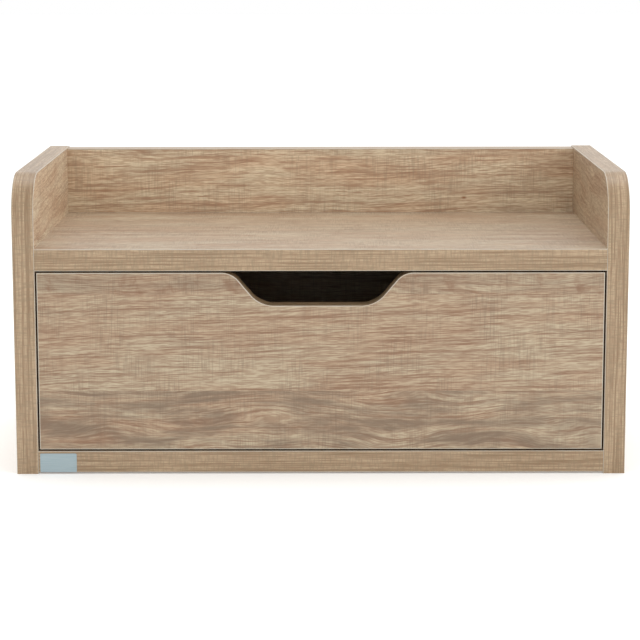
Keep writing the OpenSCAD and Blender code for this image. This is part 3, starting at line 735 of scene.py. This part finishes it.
class BENCH_OT_oak_boards(bpy.types.Operator):
    """Give every board its oak decor, each with its own planks"""

    bl_idname = "bench.oak_boards"
    bl_label = "Oak Boards"

    def execute(self, context):
        colours = context.scene.bench_colours
        paint(oak_board("oak decor melamine, drawer front", X, Z, Y,
                        [(0.0, 0.8, 0.75, 0.01, 0.15), (0.33, 0.06, 0.14, 0.035, 0.0),
                         (0.881, 0.42, 0.4, 0.0, 0.55)],
                        11.0, span_of("drawer_front", Z), colours), "drawer_front")
        # The seat's tone is painted sheen: it lightens its print and turns it grey, most in blue, to
        # stand in for the pale sheen on its top
        paint(oak_board("oak decor melamine, seat", X, Y, Z,
                        [(0.0, 0.15, 0.3, 0.0, 0.0), (0.38, 0.3, 0.5, 0.01, 0.0),
                         (0.72, 0.2, 0.4, 0.0, 0.1)],
                        23.0, span_of("seat_panel", Y), colours, (1.13, 1.18, 1.25)),
              "seat_panel")
        # The upstand's tone is painted light: it lightens its print by about half, to make up for the
        # shade in its recess behind the seat
        paint(oak_board("oak decor melamine, upstand", X, Z, Y,
                        [(0.0, 0.22, 0.30, 0.02, 0.0), (0.9, 0.35, 0.2, 0.0, 0.2)],
                        37.0, span_of("upstand_panel", Z), colours, (1.57, 1.62, 1.66),
                        knot=(185.0, 280.0)), "upstand_panel")
        paint(oak_board("oak decor melamine, bottom", X, Y, Z,
                        [(0.0, 0.3, 0.5, 0.0, 0.1), (0.5, 0.2, 0.3, 0.0, 0.0)],
                        43.0, span_of("bottom_panel", Y), colours), "bottom_panel")
        # The side tones are painted light: the left panel, whose inner face the key lights, is made
        # much lighter than the right one, whose inner face is in shade
        for side, seed, tone in (("left", 59.0, (1.54, 1.62, 1.72)),
                                 ("right", 71.0, (1.08, 1.06, 1.03))):
            node = side + "_side_panel"
            paint(oak_board("oak decor melamine, %s side" % side, Y, Z, X,
                            [(0.0, 0.25, 0.5, 0.0, 0.0), (0.45, 0.12, 0.35, 0.0, 0.1),
                             (0.78, 0.1, 0.3, 0.05, 0.0)],
                            seed, span_of(node, Z), colours, tone), node)
        return {"FINISHED"}


class BENCH_OT_drawer_box(bpy.types.Operator):
    """Give the drawer box and the back their boards' finishes"""

    bl_idname = "bench.drawer_box"
    bl_label = "Drawer Box"

    def execute(self, context):
        colours = context.scene.bench_colours
        for node, along, through, seed in (("drawer_left_side", Y, X, 83.0),
                                           ("drawer_right_side", Y, X, 89.0),
                                           ("drawer_back", X, Y, 97.0)):
            paint(oak_board("oak decor foil, " + node.replace("_", " "), along, Z, through,
                            [(0.0, 0.2, 0.3, 0.0, 0.0)], seed, span_of(node, Z), colours), node)
        paint(hardboard_sheet("hardboard, back", 5.0, colours), "back_panel")
        paint(hardboard_sheet("hardboard, drawer bottom", 55.0, colours), "drawer_bottom")
        return {"FINISHED"}


class BENCH_OT_fittings(bpy.types.Operator):
    """Give runners, rollers, cams, bolts, screws and dowels their finishes"""

    bl_idname = "bench.fittings"
    bl_label = "Fittings"

    def execute(self, context):
        colours = context.scene.bench_colours
        by_slot = {"zinc": zinc_plate(), "runner_steel": powder_coat(),
                   "nylon": moulded_nylon(), "beech": turned_beech()}
        for part in frame["record"]["subparts"]:
            if part["material_slot"] in by_slot:
                paint(by_slot[part["material_slot"]], part["node"])
        return {"FINISHED"}


class BENCH_OT_studio(bpy.types.Operator):
    """Set up the pale floor, the soft lights and the camera"""

    bl_idname = "bench.studio"
    bl_label = "Studio"

    def execute(self, context):
        scene = context.scene
        bpy.ops.object.select_all(action="DESELECT")
        bpy.ops.mesh.primitive_plane_add(size=FLOOR_SIZE, location=(0, 0, CAD_LOW[Z]))
        floor = context.object
        floor.name = "studio_floor"
        material, tree, shader = new_material("matt studio paint",
                                              {"Roughness": 0.9, "Specular IOR Level": 0.1,
                                               "Emission Color": linear("#FFFFFF"),
                                               "Emission Strength": 0.2})
        dust = add(tree, NOISE, {"Vector": add(tree, "ShaderNodeTexCoord").outputs["Object"],
                                 "Scale": 3.0, "Detail": 3.0})
        tone = blend_colours(tree, add(tree, MATH, {0: dust, 1: 0.1}, operation="MULTIPLY"),
                             scene.bench_colours.floor, linear("#EDEDEA"))
        tree.links.new(tone, shader.inputs["Base Color"])
        floor.data.materials.append(material)

        world = bpy.data.worlds.new("white studio")
        world.use_nodes = True
        backdrop = world.node_tree.nodes["Background"]
        backdrop.inputs["Color"].default_value = linear("#FFFFFF")
        backdrop.inputs["Strength"].default_value = 1.0
        scene.world = world
        # A key from the right front and a weaker softbox above the back half of the seat
        for name, place, size, power in SOFTBOXES:
            data = bpy.data.lights.new(name + "_softbox", "AREA")
            data.shape = "SQUARE"
            data.size = size
            data.energy = power
            lamp = bpy.data.objects.new(name + "_softbox", data)
            lamp.location = place
            aim = Vector(LIGHTS_AIM) - Vector(place)
            lamp.rotation_euler = aim.to_track_quat("-Z", "Y").to_euler()
            scene.collection.objects.link(lamp)

        camera_data = bpy.data.cameras.new("studio_camera")
        camera_data.sensor_width = CAMERA_SENSOR
        camera_data.lens = CAMERA_LENS
        camera_data.shift_y = CAMERA_SHIFT
        camera = bpy.data.objects.new("studio_camera", camera_data)
        camera.location = CAMERA_PLACE
        camera.rotation_euler = CAMERA_TILT
        scene.collection.objects.link(camera)
        scene.camera = camera
        scene.view_settings.view_transform = "Standard"
        return {"FINISHED"}


class BENCH_PT_panel(bpy.types.Panel):
    """Lists the bench's sizes, colours and making steps"""

    bl_label = "Bench"
    bl_idname = "BENCH_PT_panel"
    bl_space_type = "VIEW_3D"
    bl_region_type = "UI"
    bl_category = "Bench"

    def draw(self, context):
        for group in (context.scene.bench_sizes, context.scene.bench_colours):
            for key in group.__annotations__:
                self.layout.prop(group, key)
        for step in STEPS:
            self.layout.operator(step.bl_idname)


STEPS = (BENCH_OT_studio, BENCH_OT_edging_strips, BENCH_OT_drawer_strip, BENCH_OT_label_plate,
         BENCH_OT_oak_boards, BENCH_OT_drawer_box, BENCH_OT_fittings)
CLASSES = (BenchSizes, BenchColours) + STEPS + (BENCH_PT_panel,)


def register():
    for item in CLASSES:
        bpy.utils.register_class(item)
    bpy.types.Scene.bench_sizes = bpy.props.PointerProperty(type=BenchSizes)
    bpy.types.Scene.bench_colours = bpy.props.PointerProperty(type=BenchColours)


def unregister():
    del bpy.types.Scene.bench_sizes
    del bpy.types.Scene.bench_colours
    for item in reversed(CLASSES):
        bpy.utils.unregister_class(item)


def main():
    register()
    for step in STEPS:
        group, action = step.bl_idname.split(".")
        getattr(getattr(bpy.ops, group), action)()


if __name__ == "__main__":
    main()
